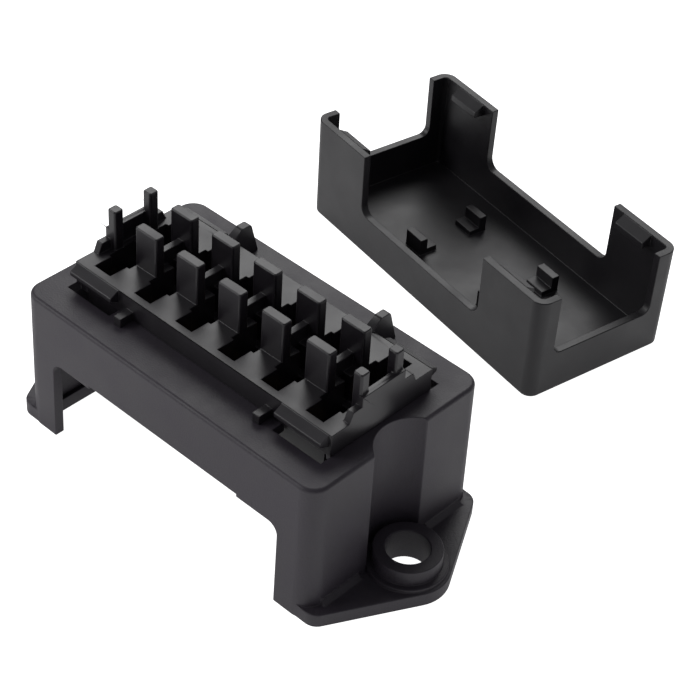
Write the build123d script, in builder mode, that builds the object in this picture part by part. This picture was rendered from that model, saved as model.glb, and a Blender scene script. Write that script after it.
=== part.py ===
"""Six-way blade-fuse box with its cover lying beside it, open side up.

Millimetres, +Z up. The origin is midway between the two fixing screws, on the face that the
box is screwed down by. X runs along the row of fuses, Y across it. The base is an open-bottomed
housing, a fuse carrier that drops in through its top plate, and twelve crimp terminals that go
up into the carrier from below. The cover is a four-legged tray that snaps over the carrier.
"""
import os

from build123d import *

# Blade fuse and terminal sizes that the rest follows from
FUSE_THICKNESS = 5.1
BLADE_OFFSET = 7.1
BLADE_WIDTH = 5.2
BAY_PITCH = 11.0
BAY_COUNT = 6

# Housing
PLATE_TOP = 31.4
PLATE_THICKNESS = 2.2
FOOT_HALF_X = 38.4
FOOT_HALF_Y = 22.3
DRAFT = 0.55
HOUSING_CORNER_R = 4.0
HOUSING_TOP_FILLET = 0.8
SIDE_WALL = 2.1
END_WALL = 2.9
INNER_CORNER_R = 2.0
ARCH_HALF_X = 29.9
ARCH_TOP = 18.5
ARCH_MIDDLE_HALF_X = 19.6
ARCH_MIDDLE_TOP = 19.1
ARCH_CORNER_R = 2.3

# Fixing ears
SCREW_X = 42.0
SCREW_HOLE_R = 4.2
EAR_THICKNESS = 3.0
EAR_TIP_X = 51.6
EAR_SHOULDER_X = 39.6
EAR_TIP_R = 7.5
EAR_SHOULDER_R = 3.0
EAR_INSET = 0.15
BOSS_R = 6.6
BOSS_TOP = 6.9
BOSS_RING_R = 7.8
BOSS_RING_TOP = 3.7
GROOVE_R = 7.9
GROOVE_WALL = 1.9
RIB_INNER_Y = 9.0
RIB_OUTER_Y = 18.8
RIB_LEG = 1.0

# Fuse carrier
DECK_TOP = 36.3
DECK_HALF_X = 33.2
DECK_HALF_Y = 13.0
CARRIER_TOP = 45.0
TOWER_FOOT = 8.0
TOWER_HALF_X = 31.0
TOWER_HALF_Y = 12.0
TOWER_CLEARANCE = 0.2
DIVIDER_LENGTH = BAY_PITCH - FUSE_THICKNESS - 0.1
DIVIDER_WIDTH = 2.2
DIVIDER_Y = 4.4
BRIDGE_THICKNESS = 1.5
BRIDGE_TOP = 39.2
POST_X = 31.5
POST_LENGTH = 2.2
END_WALL_X = 31.7
END_WALL_TOP = 40.5
END_WALL_HALF_Y = 5.5
END_LUG_TOP = 38.4
END_LUG_HALF_Y = 7.7
END_LUG_FOOT_Y = 8.6
CELL_NARROW_WIDTH = 4.2
CELL_WIDE_WIDTH = 5.6
CELL_OUTER_Y = 11.3
CELL_STEP_Y = 7.2
CELL_INNER_Y = 1.0
CELL_LEDGE_Y = 2.9
LEDGE_Z = 24.0
CHANNEL_FLOOR = 30.5
CHANNEL_WIDTH = 1.5
CORE_WIDTH = 3.4
CORE_LENGTH = 21.0
CORE_TOP = 29.0
CATCH_INNER_X = 21.2
CATCH_OUTER_X = 32.6
CATCH_REACH = 15.0
CATCH_UNDER = 34.3
SLOT_INNER_X = 21.4
SLOT_OUTER_X = 33.0
SLOT_OUTER_Y = 15.2
FIN_X = 18.1
FIN_THICKNESS = 1.8
FRONT_PEG_REACH = 16.2
FRONT_PEG_TOP = 33.4
BACK_FIN_REACH = 19.3
BACK_FIN_TOP = 38.4
BACK_FIN_KNEE_Y = 14.8
BACK_FIN_TIP_Y = 17.3
BARB_X = 11.0
BARB_WIDTH = 5.0
BARB_REACH = 12.9

# Crimp terminal, 6.3 mm series
TERMINAL_TOP = 29.4
SHEET = 0.4
RECEPTACLE_LENGTH = 8.0
RECEPTACLE_WIDTH = 7.0
RECEPTACLE_DEPTH = 3.2
NECK_LENGTH = 3.0
CONDUCTOR_WINGS = 4.5
WING_GAP = 1.0
INSULATION_WINGS = 4.0
CONDUCTOR_R = 1.5
INSULATION_R = 1.8

# Cover, modelled lying on its closed face
COVER_X = -7.4
COVER_Y = 78.9
COVER_YAW = -11.3
COVER_HALF_X = 38.6
COVER_HALF_Y = 18.1
COVER_HEIGHT = 24.6
COVER_WALL = 1.7
COVER_DRAFT = 0.55
COVER_CORNER_R = 2.6
COVER_EDGE_FILLET = 0.8
SIDE_GAP_HALF_X = 20.4
SIDE_GAP_EDGE = 9.8
SIDE_GAP_R = 2.6
END_GAP_HALF_Y = 12.9
END_GAP_EDGE = 10.1
END_GAP_R = 2.0
LUG_INNER_X = 23.6
LUG_OUTER_X = 32.2
LUG_DEPTH = 2.1
LUG_LENGTH = 2.8
PAD_X = 12.6
PAD_Y = 8.2
PAD_LENGTH = 5.3
PAD_WIDTH = 1.9
PAD_TOP = 5.6
PAD_STEP_TOP = 2.9
PAD_STEP_WIDTH = 2.6

EDGE = 0.3
THROUGH = 200.0
SIDES = (-1, 1)

bay_xs = [BAY_PITCH * (bay - (BAY_COUNT - 1) / 2) for bay in range(BAY_COUNT)]
divider_xs = [(left + right) / 2 for left, right in zip(bay_xs, bay_xs[1:])]
deck_height = DECK_TOP - PLATE_TOP


def corners_at(sketch, half_width):
    """Corners of a sketch that stand half_width to either side of its own Y axis."""
    return sketch.vertices().filter_by(lambda corner: abs(abs(corner.X) - half_width) < 1e-3)


def make_housing():
    """Open-bottomed box with arched long sides, screw ears and an opening in its top plate."""
    ear_half_y = FOOT_HALF_Y - EAR_INSET
    with BuildPart() as housing:
        with BuildSketch(Plane.XY):
            RectangleRounded(2 * FOOT_HALF_X, 2 * FOOT_HALF_Y, HOUSING_CORNER_R)
        extrude(amount=PLATE_TOP, taper=DRAFT)
        fillet(housing.faces().sort_by(Axis.Z)[-1].edges(), HOUSING_TOP_FILLET)
        with BuildSketch(Plane.XY):
            RectangleRounded(2 * (FOOT_HALF_X - END_WALL), 2 * (FOOT_HALF_Y - SIDE_WALL), INNER_CORNER_R)
        extrude(amount=PLATE_TOP - PLATE_THICKNESS, taper=DRAFT, mode=Mode.SUBTRACT)

        # wall behind each screwdriver groove, bulging inwards
        with BuildSketch(Plane.XY):
            with Locations((-SCREW_X, 0), (SCREW_X, 0)):
                Circle(GROOVE_R + GROOVE_WALL)
            Rectangle(2 * (FOOT_HALF_X - 1), 2 * FOOT_HALF_Y, mode=Mode.INTERSECT)
        extrude(amount=PLATE_TOP - PLATE_THICKNESS / 2)

        # ear plates
        with BuildSketch(Plane.XY) as ears:
            for side in SIDES:
                with BuildLine():
                    Polyline(
                        (side * (FOOT_HALF_X - HOUSING_CORNER_R), -ear_half_y),
                        (side * EAR_SHOULDER_X, -ear_half_y),
                        (side * EAR_TIP_X, 0),
                        (side * EAR_SHOULDER_X, ear_half_y),
                        (side * (FOOT_HALF_X - HOUSING_CORNER_R), ear_half_y),
                        close=True,
                    )
                make_face()
            fillet(corners_at(ears, EAR_TIP_X), EAR_TIP_R)
            fillet(corners_at(ears, EAR_SHOULDER_X), EAR_SHOULDER_R)
        extrude(amount=EAR_THICKNESS)

        # screwdriver grooves, cut down to the ears
        with BuildSketch(Plane.XY.offset(EAR_THICKNESS)):
            with Locations((-SCREW_X, 0), (SCREW_X, 0)):
                Circle(GROOVE_R)
        extrude(amount=PLATE_TOP, mode=Mode.SUBTRACT)

        # bosses round the screw holes
        for radius, top in ((BOSS_RING_R, BOSS_RING_TOP), (BOSS_R, BOSS_TOP)):
            with BuildSketch(Plane.XY):
                with Locations((-SCREW_X, 0), (SCREW_X, 0)):
                    Circle(radius)
            extrude(amount=top)
        with BuildSketch(Plane.XY):
            with Locations((-SCREW_X, 0), (SCREW_X, 0)):
                Circle(SCREW_HOLE_R)
        extrude(amount=BOSS_TOP, mode=Mode.SUBTRACT)

        # sloping ribs where the end walls meet the ears
        for rib_start in (-RIB_INNER_Y, RIB_OUTER_Y):
            with BuildSketch(Plane.XZ.offset(-rib_start)):
                for side in SIDES:
                    with BuildLine():
                        Polyline(
                            (side * (FOOT_HALF_X - 1), EAR_THICKNESS - 1),
                            (side * (FOOT_HALF_X + RIB_LEG), EAR_THICKNESS - 1),
                            (side * (FOOT_HALF_X + RIB_LEG), EAR_THICKNESS),
                            (side * FOOT_HALF_X, EAR_THICKNESS + RIB_LEG),
                            (side * (FOOT_HALF_X - 1), EAR_THICKNESS + RIB_LEG),
                            close=True,
                        )
                    make_face()
            extrude(amount=RIB_OUTER_Y - RIB_INNER_Y)

        # arches through the long sides, a little higher in the middle
        with BuildSketch(Plane.XZ) as arch:
            Rectangle(2 * ARCH_HALF_X, 2 * ARCH_TOP)
            fillet(arch.vertices().group_by(Axis.Y)[-1], ARCH_CORNER_R)
            Rectangle(2 * ARCH_MIDDLE_HALF_X, 2 * ARCH_MIDDLE_TOP)
        extrude(amount=THROUGH, both=True, mode=Mode.SUBTRACT)

        # opening for the carrier's tower, and the slots below its catches
        with BuildSketch(Plane.XY.offset(ARCH_TOP)):
            Rectangle(2 * (TOWER_HALF_X + TOWER_CLEARANCE), 2 * (TOWER_HALF_Y + TOWER_CLEARANCE))
            with GridLocations(SLOT_OUTER_X + SLOT_INNER_X, SLOT_OUTER_Y + TOWER_HALF_Y, 2, 2):
                Rectangle(SLOT_OUTER_X - SLOT_INNER_X, SLOT_OUTER_Y - TOWER_HALF_Y)
        extrude(amount=PLATE_TOP, mode=Mode.SUBTRACT)
    return housing


def make_fuse_carrier():
    """Deck with fuse dividers above and a tower of terminal cells below."""
    with BuildPart() as carrier:
        with BuildSketch(Plane.XY.offset(TOWER_FOOT)):
            Rectangle(2 * TOWER_HALF_X, 2 * TOWER_HALF_Y)
        extrude(amount=DECK_TOP - TOWER_FOOT)
        with BuildSketch(Plane.XY.offset(PLATE_TOP)):
            Rectangle(2 * DECK_HALF_X, 2 * DECK_HALF_Y)
        extrude(amount=deck_height)

        # raised walls across the two ends of the deck
        with BuildSketch(Plane.YZ.offset(END_WALL_X)):
            with BuildLine():
                Polyline(
                    (-END_LUG_FOOT_Y, PLATE_TOP + 1),
                    (-END_LUG_FOOT_Y, DECK_TOP),
                    (-END_LUG_HALF_Y, END_LUG_TOP),
                    (-END_WALL_HALF_Y, END_LUG_TOP),
                    (-END_WALL_HALF_Y, END_WALL_TOP),
                    (END_WALL_HALF_Y, END_WALL_TOP),
                    (END_WALL_HALF_Y, END_LUG_TOP),
                    (END_LUG_HALF_Y, END_LUG_TOP),
                    (END_LUG_FOOT_Y, DECK_TOP),
                    (END_LUG_FOOT_Y, PLATE_TOP + 1),
                    close=True,
                )
            make_face()
        end_wall = extrude(amount=DECK_HALF_X - END_WALL_X)
        mirror(end_wall, about=Plane.YZ)

        # catches that the cover's lugs snap under
        with BuildSketch(Plane.YZ.offset(CATCH_INNER_X)):
            with BuildLine():
                Polyline(
                    (DECK_HALF_Y - 1, DECK_TOP - 0.1),
                    (DECK_HALF_Y, DECK_TOP - 0.1),
                    (CATCH_REACH, DECK_TOP - 1.1),
                    (CATCH_REACH, CATCH_UNDER),
                    (DECK_HALF_Y, CATCH_UNDER - 0.8),
                    (DECK_HALF_Y - 1, CATCH_UNDER - 0.8),
                    close=True,
                )
            make_face()
        catch = extrude(amount=CATCH_OUTER_X - CATCH_INNER_X)
        front_catch = mirror(catch, about=Plane.XZ)
        mirror(catch, about=Plane.YZ)
        mirror(front_catch, about=Plane.YZ)

        # guides that the cover's legs slide down beside: low pegs in front, tall fins behind
        for side in SIDES:
            fin_plane = Plane.YZ.offset(side * FIN_X - FIN_THICKNESS / 2)
            with BuildSketch(fin_plane) as fins:
                with BuildLine():
                    Polyline(
                        (DECK_HALF_Y - 1, PLATE_TOP),
                        (BACK_FIN_REACH, PLATE_TOP),
                        (BACK_FIN_TIP_Y, BACK_FIN_TOP),
                        (BACK_FIN_KNEE_Y, BACK_FIN_TOP),
                        (DECK_HALF_Y - 1, DECK_TOP - 0.1),
                        close=True,
                    )
                make_face()
                fillet(fins.vertices().group_by(Axis.Y)[-1], FIN_THICKNESS / 2)
                with Locations((-(FRONT_PEG_REACH + DECK_HALF_Y - 1) / 2, (FRONT_PEG_TOP + PLATE_TOP) / 2)):
                    Rectangle(FRONT_PEG_REACH - DECK_HALF_Y + 1, FRONT_PEG_TOP - PLATE_TOP)
            extrude(amount=FIN_THICKNESS)

        # barbs that hold the carrier down in the housing
        for side in SIDES:
            with BuildSketch(Plane.YZ.offset(side * BARB_X - BARB_WIDTH / 2)):
                for face in SIDES:
                    with BuildLine():
                        Polyline(
                            (face * (TOWER_HALF_Y - 1), PLATE_TOP - PLATE_THICKNESS),
                            (face * BARB_REACH, PLATE_TOP - PLATE_THICKNESS),
                            (face * TOWER_HALF_Y, PLATE_TOP - 2 * PLATE_THICKNESS),
                            (face * (TOWER_HALF_Y - 1), PLATE_TOP - 2 * PLATE_THICKNESS),
                            close=True,
                        )
                    make_face()
            extrude(amount=BARB_WIDTH)

        # terminal cells: narrow outwards, wide inwards, and a ledge that the lances sit on
        cell_steps = (
            (TOWER_FOOT - 1, CELL_LEDGE_Y),
            (LEDGE_Z, CELL_INNER_Y),
            (CHANNEL_FLOOR, 0),
        )
        for bottom, inner_y in cell_steps:
            with BuildSketch(Plane.XY.offset(bottom)):
                for side in SIDES:
                    with Locations([(x, side * (inner_y + CELL_OUTER_Y) / 2) for x in bay_xs]):
                        Rectangle(CELL_NARROW_WIDTH, CELL_OUTER_Y - inner_y)
                    with Locations([(x, side * (inner_y + CELL_STEP_Y) / 2) for x in bay_xs]):
                        Rectangle(CELL_WIDE_WIDTH, CELL_STEP_Y - inner_y)
            extrude(amount=CARRIER_TOP, mode=Mode.SUBTRACT)

        # channel along the middle, and cores between the cells, open below
        with BuildSketch(Plane.XY.offset(CHANNEL_FLOOR)):
            Rectangle(bay_xs[-1] - bay_xs[0], CHANNEL_WIDTH)
        extrude(amount=deck_height * 2, mode=Mode.SUBTRACT)
        with BuildSketch(Plane.XY.offset(TOWER_FOOT)):
            with Locations([(x, 0) for x in divider_xs]):
                Rectangle(CORE_WIDTH, CORE_LENGTH)
        extrude(amount=CORE_TOP - TOWER_FOOT, mode=Mode.SUBTRACT)

        # low bridges that join the front and back dividers over the middle channel
        with BuildSketch(Plane.XY.offset(DECK_TOP - 0.5)):
            with Locations([(x, 0) for x in divider_xs]):
                Rectangle(BRIDGE_THICKNESS, 2 * DIVIDER_Y)
        extrude(amount=BRIDGE_TOP - DECK_TOP + 0.5)

        # dividers between the fuses, and the posts at the two ends
        divider_places = [(x, side * DIVIDER_Y) for x in divider_xs for side in SIDES]
        post_places = [(end * POST_X, side * DIVIDER_Y) for end in SIDES for side in SIDES]
        with BuildSketch(Plane.XY.offset(DECK_TOP - 0.5)):
            with Locations(divider_places):
                RectangleRounded(DIVIDER_LENGTH, DIVIDER_WIDTH, 0.5)
            with Locations(post_places):
                RectangleRounded(POST_LENGTH, DIVIDER_WIDTH, 0.5)
        extrude(amount=CARRIER_TOP - DECK_TOP + 0.5)
        fillet(carrier.faces().filter_by(Axis.Z).group_by(Axis.Z)[-1].edges(), EDGE)
    return carrier


def make_terminal(bay_x, row):
    """Crimp socket for one fuse blade: receptacle, lance, neck and two pairs of open wings."""
    receptacle_foot = TERMINAL_TOP - RECEPTACLE_LENGTH
    neck_foot = receptacle_foot - NECK_LENGTH
    insulation_top = neck_foot - CONDUCTOR_WINGS - WING_GAP
    strip_y = row * BLADE_OFFSET
    with BuildPart() as terminal:
        # receptacle with its edges rolled in towards the blade
        with BuildSketch(Plane.XY.offset(receptacle_foot)):
            with Locations((bay_x, strip_y)):
                RectangleRounded(RECEPTACLE_DEPTH, RECEPTACLE_WIDTH, RECEPTACLE_DEPTH / 3)
                RectangleRounded(
                    RECEPTACLE_DEPTH - 2 * SHEET,
                    RECEPTACLE_WIDTH - 2 * SHEET,
                    RECEPTACLE_DEPTH / 3 - SHEET,
                    mode=Mode.SUBTRACT,
                )
            with Locations((bay_x + RECEPTACLE_DEPTH / 4 + SHEET / 2, strip_y)):
                Rectangle(RECEPTACLE_DEPTH / 4, BLADE_WIDTH / 3)
            with Locations((bay_x - RECEPTACLE_DEPTH / 4 - SHEET / 2, strip_y)):
                Rectangle(RECEPTACLE_DEPTH / 4, BLADE_WIDTH / 3)
        extrude(amount=RECEPTACLE_LENGTH)
        with BuildSketch(Plane.XY.offset(receptacle_foot)):
            with Locations((bay_x, strip_y)):
                RectangleRounded(RECEPTACLE_DEPTH, RECEPTACLE_WIDTH, RECEPTACLE_DEPTH / 3)
        extrude(amount=SHEET)

        # lance that springs out over the ledge in the cell
        lance_root = BLADE_OFFSET - RECEPTACLE_WIDTH / 2
        with BuildSketch(Plane.YZ.offset(bay_x - RECEPTACLE_DEPTH / 3)):
            with BuildLine():
                Polyline(
                    (row * (lance_root + SHEET), LEDGE_Z + 3.6),
                    (row * (CELL_LEDGE_Y - 1.2), LEDGE_Z),
                    (row * (CELL_LEDGE_Y - 0.7), LEDGE_Z),
                    (row * (lance_root + SHEET), LEDGE_Z + 2.8),
                    close=True,
                )
            make_face()
        extrude(amount=RECEPTACLE_DEPTH * 2 / 3)

        # channel-shaped neck
        with BuildSketch(Plane.XY.offset(neck_foot)):
            with Locations((bay_x, strip_y)):
                Rectangle(2 * CONDUCTOR_R, 2 * CONDUCTOR_R)
            with Locations((bay_x + SHEET, strip_y)):
                Rectangle(2 * CONDUCTOR_R, 2 * (CONDUCTOR_R - SHEET), mode=Mode.SUBTRACT)
        extrude(amount=NECK_LENGTH)

        # spine, then the wings for the conductor and for the insulation
        with BuildSketch(Plane.XY.offset(insulation_top - INSULATION_WINGS)):
            with Locations((bay_x - CONDUCTOR_R + SHEET / 2, strip_y)):
                Rectangle(SHEET, CONDUCTOR_R)
        extrude(amount=neck_foot - insulation_top + INSULATION_WINGS)
        wings = (
            (neck_foot - CONDUCTOR_WINGS, CONDUCTOR_R, CONDUCTOR_WINGS),
            (insulation_top - INSULATION_WINGS, INSULATION_R, INSULATION_WINGS),
        )
        for foot, radius, length in wings:
            with BuildSketch(Plane.XY.offset(foot)):
                with Locations((bay_x - CONDUCTOR_R + radius, strip_y)):
                    Circle(radius)
                    Circle(radius - SHEET, mode=Mode.SUBTRACT)
                with Locations((bay_x - CONDUCTOR_R + 2 * radius, strip_y)):
                    Rectangle(radius, radius, mode=Mode.SUBTRACT)
            extrude(amount=length)
    return terminal


def make_cover():
    """Tray with four legs, snap lugs inside the legs and pads that keep the fuses down."""
    with BuildPart() as cover:
        with BuildSketch(Plane.XY):
            RectangleRounded(2 * COVER_HALF_X, 2 * COVER_HALF_Y, COVER_CORNER_R)
        extrude(amount=COVER_HEIGHT, taper=-COVER_DRAFT)
        fillet(cover.faces().sort_by(Axis.Z)[0].edges(), COVER_EDGE_FILLET)
        with BuildSketch(Plane.XY.offset(COVER_WALL)):
            RectangleRounded(
                2 * (COVER_HALF_X - COVER_WALL),
                2 * (COVER_HALF_Y - COVER_WALL),
                COVER_CORNER_R - COVER_WALL,
            )
        extrude(amount=COVER_HEIGHT, taper=-COVER_DRAFT, mode=Mode.SUBTRACT)

        # lugs inside the legs, with a lead-in slope at the rim
        lug_back = COVER_HALF_Y - COVER_WALL / 2
        lug_front = COVER_HALF_Y - COVER_WALL - LUG_DEPTH
        with BuildSketch(Plane.YZ.offset(LUG_INNER_X)):
            with BuildLine():
                Polyline(
                    (lug_back, COVER_HEIGHT - 0.2),
                    (lug_back - COVER_WALL / 2, COVER_HEIGHT - 0.2),
                    (lug_front, COVER_HEIGHT - 1.4),
                    (lug_front, COVER_HEIGHT - LUG_LENGTH),
                    (lug_back, COVER_HEIGHT - LUG_LENGTH),
                    close=True,
                )
            make_face()
        lug = extrude(amount=LUG_OUTER_X - LUG_INNER_X)
        near_lug = mirror(lug, about=Plane.XZ)
        mirror(lug, about=Plane.YZ)
        mirror(near_lug, about=Plane.YZ)

        # gaps between the legs
        with BuildSketch(Plane.XZ) as side_gap:
            with Locations((0, SIDE_GAP_EDGE + COVER_HEIGHT / 2)):
                Rectangle(2 * SIDE_GAP_HALF_X, COVER_HEIGHT)
            fillet(side_gap.vertices().group_by(Axis.Y)[0], SIDE_GAP_R)
        extrude(amount=THROUGH, both=True, mode=Mode.SUBTRACT)
        with BuildSketch(Plane.YZ) as end_gap:
            with Locations((0, END_GAP_EDGE + COVER_HEIGHT / 2)):
                Rectangle(2 * END_GAP_HALF_Y, COVER_HEIGHT)
            fillet(end_gap.vertices().group_by(Axis.Y)[0], END_GAP_R)
        extrude(amount=THROUGH, both=True, mode=Mode.SUBTRACT)

        # stepped pads that press on the fuses
        for height, reach in ((PAD_TOP, 0), (PAD_STEP_TOP, PAD_STEP_WIDTH)):
            with BuildSketch(Plane.XY.offset(COVER_WALL / 2)):
                with GridLocations(2 * PAD_X, 2 * PAD_Y - reach, 2, 2):
                    Rectangle(PAD_LENGTH, PAD_WIDTH + reach)
            extrude(amount=height - COVER_WALL / 2)
    return cover


def write(part, node):
    """Label a finished solid with its node's name and save it."""
    part.label = node
    export_step(part, f"parts/{node}.step")
    print(f"{node:20s} {len(part.solids())} solid  {part.volume / 1000:8.3f} cm3")


os.makedirs("parts", exist_ok=True)

housing = make_housing()
write(housing.part, "housing")

fuse_carrier = make_fuse_carrier()
write(fuse_carrier.part, "fuse_carrier")

for number, bay_x in enumerate(bay_xs, start=1):
    for row, row_name in ((-1, "front"), (1, "back")):
        terminal = make_terminal(bay_x, row)
        write(terminal.part, f"terminal_{row_name}_{number}")

# the cover lies open side up behind the base
cover = make_cover()
cover_rest = Location((COVER_X, COVER_Y, 0), (0, 0, COVER_YAW))
write(cover.part.moved(cover_rest), "cover")
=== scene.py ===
"""Looks of a six-way blade-fuse box whose cover lies beside it, open side up.

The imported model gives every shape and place. This script rounds the moulded edges, dresses each
part in its own finish, and sets up a pale studio with two softboxes.
"""

import logging
import math
from dataclasses import dataclass
from enum import Enum

import bpy
from mathutils import Matrix, Vector


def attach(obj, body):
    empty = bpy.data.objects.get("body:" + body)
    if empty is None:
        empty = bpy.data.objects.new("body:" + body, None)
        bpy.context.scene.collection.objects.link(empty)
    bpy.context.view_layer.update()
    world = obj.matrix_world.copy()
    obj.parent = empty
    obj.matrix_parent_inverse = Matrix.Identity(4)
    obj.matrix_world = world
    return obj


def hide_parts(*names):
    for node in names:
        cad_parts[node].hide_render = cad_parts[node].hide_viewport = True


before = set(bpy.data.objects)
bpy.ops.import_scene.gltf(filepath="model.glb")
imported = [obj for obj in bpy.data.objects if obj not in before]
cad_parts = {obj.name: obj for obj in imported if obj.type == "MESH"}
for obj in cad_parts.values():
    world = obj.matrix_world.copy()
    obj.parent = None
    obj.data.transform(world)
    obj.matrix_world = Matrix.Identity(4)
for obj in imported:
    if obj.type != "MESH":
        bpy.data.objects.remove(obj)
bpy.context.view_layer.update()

MM = 0.001
WELD_MM = 0.002
SHARP_DEG = 40
log = logging.getLogger("fuse_box")


def linear(hex_colour: str) -> tuple[float, float, float, float]:
    """Turn an sRGB hex colour into the linear one that a shader takes.

    Args:
        hex_colour: Six hex digits after a hash sign.

    Returns:
        Red, green, blue and an alpha of one.
    """
    channels = [int(hex_colour[start : start + 2], 16) / 255 for start in (1, 3, 5)]
    turned = [c / 12.92 if c <= 0.04045 else ((c + 0.055) / 1.055) ** 2.4 for c in channels]
    return (turned[0], turned[1], turned[2], 1.0)


def add_node(
    tree: bpy.types.NodeTree,
    kind: str,
    settings: dict[str, object] | None = None,
    links: dict[str, bpy.types.NodeSocket] | None = None,
) -> bpy.types.Node:
    """Add one shader node, set its properties and sockets, and link its inputs.

    Args:
        tree: Node tree of the material.
        kind: Blender's type name of the node.
        settings: Property or input names with their values.
        links: Input names with the output sockets that feed them.

    Returns:
        The new node.
    """
    node = tree.nodes.new(kind)
    for name, value in (settings or {}).items():
        if hasattr(node, name):
            setattr(node, name, value)
        else:
            node.inputs[name].default_value = value
    for name, source in (links or {}).items():
        tree.links.new(source, node.inputs[name])
    return node


def add_colour_mix(
    tree: bpy.types.NodeTree, first_hex: str, second_hex: str, factor: bpy.types.NodeSocket
) -> bpy.types.NodeSocket:
    """Add a node that fades from one colour to another.

    Args:
        tree: Node tree of the material.
        first_hex: sRGB hex colour at a factor of zero.
        second_hex: sRGB hex colour at a factor of one.
        factor: Output socket that drives the fade.

    Returns:
        The socket that gives the mixed colour.
    """
    node = add_node(tree, "ShaderNodeMix", {"data_type": "RGBA"}, {"Factor": factor})
    first, second = [socket for socket in node.inputs if socket.type == "RGBA"]
    first.default_value = linear(first_hex)
    second.default_value = linear(second_hex)
    return [socket for socket in node.outputs if socket.type == "RGBA"][0]


def new_material(name: str) -> tuple[bpy.types.Material, bpy.types.NodeSocket]:
    """Start a material with an empty node tree.

    Args:
        name: Name of the material.

    Returns:
        The material and the socket that gives object coordinates.
    """
    material = bpy.data.materials.new(name)
    material.use_nodes = True
    material.node_tree.nodes.clear()
    place = add_node(material.node_tree, "ShaderNodeTexCoord").outputs["Object"]
    return material, place


def finish_material(material: bpy.types.Material, shader: bpy.types.Node) -> bpy.types.Material:
    """Send a shader to the output of its material.

    Args:
        material: The material.
        shader: Its shader node.

    Returns:
        The same material.
    """
    add_node(
        material.node_tree, "ShaderNodeOutputMaterial", links={"Surface": shader.outputs["BSDF"]}
    )
    return material


class Skin(Enum):
    """Skin that the plastic copies from its mould: width and height of the grain in mm."""

    SPARK_ERODED = (0.35, 0.045)
    SATIN = (0.3, 0.006)
    POLISHED = (0.9, 0.004)


@dataclass(frozen=True)
class MouldedPlastic:
    """Black nylon as it comes out of a mould.

    Nylon is dull and slightly violet in its bulk. The skin decides the gloss: a spark-eroded
    mould gives a fine pebble grain that breaks highlights up, a polished one gives soft mirrors.
    """

    name: str
    skin: Skin
    colour: str
    worn_colour: str
    roughness: float
    ior: float = 1.53
    cloud_mm: float = 9.0
    duller_by: float = 0.06
    glossier_by: float = 0.05

    def build(self) -> bpy.types.Material:
        """Make the material.

        Returns:
            The finished material.
        """
        grain_mm, grain_height_mm = self.skin.value
        material, place = new_material(self.name)
        tree = material.node_tree
        clouds = add_node(
            tree,
            "ShaderNodeTexNoise",
            {"Scale": 1 / (self.cloud_mm * MM), "Detail": 3.0, "Roughness": 0.6},
            {"Vector": place},
        )
        grain = add_node(
            tree,
            "ShaderNodeTexNoise",
            {"Scale": 1 / (grain_mm * MM), "Detail": 2.0, "Roughness": 0.55},
            {"Vector": place},
        )
        tone = add_node(
            tree,
            "ShaderNodeMapRange",
            {"From Min": 0.3, "From Max": 0.72},
            {"Value": clouds.outputs["Fac"]},
        )
        gloss = add_node(
            tree,
            "ShaderNodeMapRange",
            {
                "From Min": 0.3,
                "From Max": 0.7,
                "To Min": self.roughness - self.glossier_by,
                "To Max": self.roughness + self.duller_by,
            },
            {"Value": clouds.outputs["Fac"]},
        )
        bump = add_node(
            tree,
            "ShaderNodeBump",
            {"Strength": 1.0, "Distance": grain_height_mm * MM},
            {"Height": grain.outputs["Fac"]},
        )
        shader = add_node(
            tree,
            "ShaderNodeBsdfPrincipled",
            {"IOR": self.ior},
            {
                "Base Color": add_colour_mix(
                    tree, self.colour, self.worn_colour, tone.outputs["Result"]
                ),
                "Roughness": gloss.outputs["Result"],
                "Normal": bump.outputs["Normal"],
            },
        )
        return finish_material(material, shader)


@dataclass(frozen=True)
class BrassStrip:
    """Half-hard brass strip, stamped and folded; it has a warm, faintly rolled metal gloss."""

    name: str = "stamped_brass"
    colour: str = "#C9A55A"
    tarnish: str = "#8A6B34"
    roughness: float = 0.32
    duller_by: float = 0.12
    glossier_by: float = 0.08
    roll_mm: float = 0.12
    roll_stretch: float = 0.08
    stain_mm: float = 3.0

    def build(self) -> bpy.types.Material:
        """Make the material.

        Returns:
            The finished material.
        """
        material, place = new_material(self.name)
        tree = material.node_tree
        stretched = add_node(
            tree, "ShaderNodeMapping", {"Scale": (1.0, 1.0, self.roll_stretch)}, {"Vector": place}
        )
        rolling = add_node(
            tree,
            "ShaderNodeTexNoise",
            {"Scale": 1 / (self.roll_mm * MM), "Detail": 2.0},
            {"Vector": stretched.outputs["Vector"]},
        )
        stains = add_node(
            tree,
            "ShaderNodeTexNoise",
            {"Scale": 1 / (self.stain_mm * MM), "Detail": 4.0},
            {"Vector": place},
        )
        gloss = add_node(
            tree,
            "ShaderNodeMapRange",
            {
                "To Min": self.roughness - self.glossier_by,
                "To Max": self.roughness + self.duller_by,
            },
            {"Value": rolling.outputs["Fac"]},
        )
        shader = add_node(
            tree,
            "ShaderNodeBsdfPrincipled",
            {"Metallic": 1.0},
            {
                "Base Color": add_colour_mix(
                    tree, self.colour, self.tarnish, stains.outputs["Fac"]
                ),
                "Roughness": gloss.outputs["Result"],
            },
        )
        return finish_material(material, shader)


HOUSING_PLASTIC = MouldedPlastic(
    "spark_eroded_nylon", Skin.SPARK_ERODED, "#2B262E", "#353039", 0.5
)
CARRIER_PLASTIC = MouldedPlastic("smooth_nylon", Skin.POLISHED, "#19161B", "#201D22", 0.36)
COVER_PLASTIC = MouldedPlastic("satin_nylon", Skin.SATIN, "#161418", "#1C1A1E", 0.45)
BRASS = BrassStrip()


def deselect_all() -> None:
    """Leave nothing selected, so that the next operator acts on the new piece alone."""
    bpy.ops.object.select_all(action="DESELECT")


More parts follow.
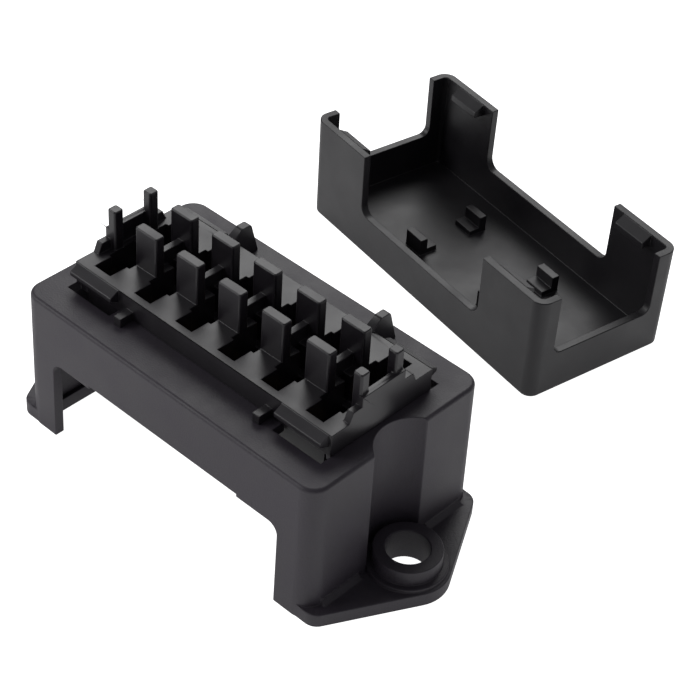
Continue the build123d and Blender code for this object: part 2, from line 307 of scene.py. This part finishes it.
def make_active(piece: bpy.types.Object) -> None:
    """Select one piece and make it the active one."""
    deselect_all()
    piece.select_set(True)
    bpy.context.view_layer.objects.active = piece


def dress(piece: bpy.types.Object, material: bpy.types.Material) -> None:
    """Give a piece one material and nothing else."""
    piece.data.materials.clear()
    piece.data.materials.append(material)


@dataclass(frozen=True)
class Moulding:
    """One moulded part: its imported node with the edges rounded, in its own plastic."""

    node: str
    body: str
    slot: str
    finish: MouldedPlastic
    edge_mm: float
    edge_faces: int = 2

    def rounded(self) -> bpy.types.Object:
        """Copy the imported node's mesh and round its sharp edges as a mould does.

        Returns:
            The new piece, which stands for the node.
        """
        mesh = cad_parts[self.node].data.copy()
        piece = bpy.data.objects.new(f"{self.node}_moulding", mesh)
        bpy.context.scene.collection.objects.link(piece)
        make_active(piece)
        bpy.ops.object.mode_set(mode="EDIT")
        bpy.ops.mesh.select_all(action="SELECT")
        bpy.ops.mesh.remove_doubles(threshold=WELD_MM * MM)
        bpy.ops.object.mode_set(mode="OBJECT")
        bpy.ops.object.shade_smooth_by_angle(angle=math.radians(SHARP_DEG))

        bevel = piece.modifiers.new("moulded_edges", "BEVEL")
        bevel.width = self.edge_mm * MM
        bevel.segments = self.edge_faces
        bevel.limit_method = "ANGLE"
        bevel.angle_limit = math.radians(SHARP_DEG)
        bevel.use_clamp_overlap = False
        bevel.loop_slide = False
        bpy.ops.object.modifier_apply(modifier=bevel.name)

        weighting = piece.modifiers.new("flat_faces_stay_flat", "WEIGHTED_NORMAL")
        weighting.mode = "FACE_AREA"
        weighting.weight = 100
        weighting.keep_sharp = True
        bpy.ops.object.modifier_apply(modifier=weighting.name)
        return piece

    def build(self) -> None:
        """Make the piece, dress it and let it ride on its body."""
        piece = self.rounded()
        dress(piece, self.finish.build())
        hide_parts(self.node)
        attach(piece, self.body)


@dataclass(frozen=True)
class Terminals:
    """The twelve crimp sockets, which stay as packed and only take their metal."""

    finish: BrassStrip = BRASS

    def build(self) -> None:
        """Dress every terminal in brass."""
        brass = self.finish.build()
        for name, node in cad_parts.items():
            if name.startswith("terminal_"):
                dress(node, brass)


@dataclass(frozen=True)
class FuseBox:
    """The whole object: base with its terminals, and the loose cover."""

    housing: Moulding = Moulding("housing", "base", "housing_plastic", HOUSING_PLASTIC, 0.2)
    fuse_carrier: Moulding = Moulding(
        "fuse_carrier", "base", "carrier_plastic", CARRIER_PLASTIC, 0.14
    )
    cover: Moulding = Moulding("cover", "cover", "cover_plastic", COVER_PLASTIC, 0.16)
    terminals: Terminals = Terminals()

    def build(self) -> None:
        """Build every part in order."""
        for part in (self.housing, self.fuse_carrier, self.cover, self.terminals):
            part.build()
            log.info("built %s", type(part).__name__)


@dataclass(frozen=True)
class Softbox:
    """Square soft light that points at the box."""

    name: str
    place_m: tuple[float, float, float]
    size_m: float
    power_w: float
    target_m: tuple[float, float, float] = (0.0, 0.03, 0.02)

    def build(self) -> None:
        """Hang the light."""
        data = bpy.data.lights.new(self.name, "AREA")
        data.size = self.size_m
        data.energy = self.power_w
        lamp = bpy.data.objects.new(self.name, data)
        lamp.location = self.place_m
        aim = Vector(self.target_m) - Vector(self.place_m)
        lamp.rotation_euler = aim.to_track_quat("-Z", "Y").to_euler()
        bpy.context.scene.collection.objects.link(lamp)


@dataclass(frozen=True)
class Viewpoint:
    """Camera that looks down on the box from one corner."""

    azimuth_deg: float = 40.65
    elevation_deg: float = 40.0
    roll_deg: float = 4.26
    distance_mm: float = 367.5
    aim_right_mm: float = 18.55
    aim_up_mm: float = -2.9
    aim_height_mm: float = 31.4
    lens_mm: float = 102.78
    sensor_mm: float = 36.0
    nearest_m: float = 0.01

    def build(self) -> None:
        """Set up the camera."""
        azimuth = math.radians(self.azimuth_deg)
        elevation = math.radians(self.elevation_deg)
        roll = math.radians(self.roll_deg)
        back = Vector(
            (
                math.sin(azimuth) * math.cos(elevation),
                -math.cos(azimuth) * math.cos(elevation),
                math.sin(elevation),
            )
        )
        level_right = Vector((math.cos(azimuth), math.sin(azimuth), 0))
        level_up = back.cross(level_right)
        right = level_right * math.cos(roll) + level_up * math.sin(roll)
        up = level_up * math.cos(roll) - level_right * math.sin(roll)
        place = right * self.aim_right_mm + up * self.aim_up_mm + back * self.distance_mm
        place.z += self.aim_height_mm
        data = bpy.data.cameras.new("camera")
        data.lens = self.lens_mm
        data.sensor_width = self.sensor_mm
        data.clip_start = self.nearest_m
        camera = bpy.data.objects.new("camera", data)
        axes = Matrix((right, up, back)).transposed().to_4x4()
        camera.matrix_world = Matrix.Translation(place * MM) @ axes
        bpy.context.scene.collection.objects.link(camera)
        bpy.context.scene.camera = camera


@dataclass(frozen=True)
class PaleTable:
    """Large table top that shows white and throws a little light back up."""

    half_m: float = 3.0
    below_mm: float = 0.02
    colour: str = "#F4F4F4"
    roughness: float = 0.9
    glow: float = 1.1
    bounce: float = 0.4

    def surface(self) -> bpy.types.Material:
        """Make the surface, which glows more to the camera than to the box.

        Returns:
            The finished material.
        """
        material = bpy.data.materials.new("pale_table")
        material.use_nodes = True
        tree = material.node_tree
        shader = tree.nodes["Principled BSDF"]
        shader.inputs["Base Color"].default_value = linear(self.colour)
        shader.inputs["Roughness"].default_value = self.roughness
        shader.inputs["Emission Color"].default_value = linear("#FFFFFF")
        seen_directly = add_node(tree, "ShaderNodeLightPath").outputs["Is Camera Ray"]
        glow = add_node(
            tree,
            "ShaderNodeMapRange",
            {"To Min": self.bounce, "To Max": self.glow},
            {"Value": seen_directly},
        )
        tree.links.new(glow.outputs["Result"], shader.inputs["Emission Strength"])
        return material

    def build(self) -> None:
        """Lay the table top."""
        deselect_all()
        bpy.ops.mesh.primitive_plane_add(size=2 * self.half_m)
        floor = bpy.context.object
        floor.name = "floor"
        floor.location.z = -self.below_mm * MM
        dress(floor, self.surface())


@dataclass(frozen=True)
class Studio:
    """Camera, pale table, soft room and two softboxes."""

    viewpoint: Viewpoint = Viewpoint()
    table: PaleTable = PaleTable()
    lights: tuple[Softbox, ...] = (
        Softbox("key_softbox", (-0.9, -0.9, 0.8), 0.7, 7.0),
        Softbox("back_softbox", (-0.7, 0.9, 1.0), 0.9, 8.0),
    )
    room_colour: str = "#F6F6FA"
    room_strength: float = 0.22

    def build(self) -> None:
        """Set up the whole studio."""
        bpy.context.scene.view_settings.view_transform = "Standard"
        world = bpy.data.worlds.new("soft_room")
        world.use_nodes = True
        background = world.node_tree.nodes["Background"]
        background.inputs["Color"].default_value = linear(self.room_colour)
        background.inputs["Strength"].default_value = self.room_strength
        bpy.context.scene.world = world
        for item in (self.viewpoint, self.table, *self.lights):
            item.build()


def main() -> None:
    """Build the studio and the object."""
    logging.basicConfig(level=logging.INFO, format="%(message)s")
    Studio().build()
    FuseBox().build()


if __name__ == "__main__":
    main()
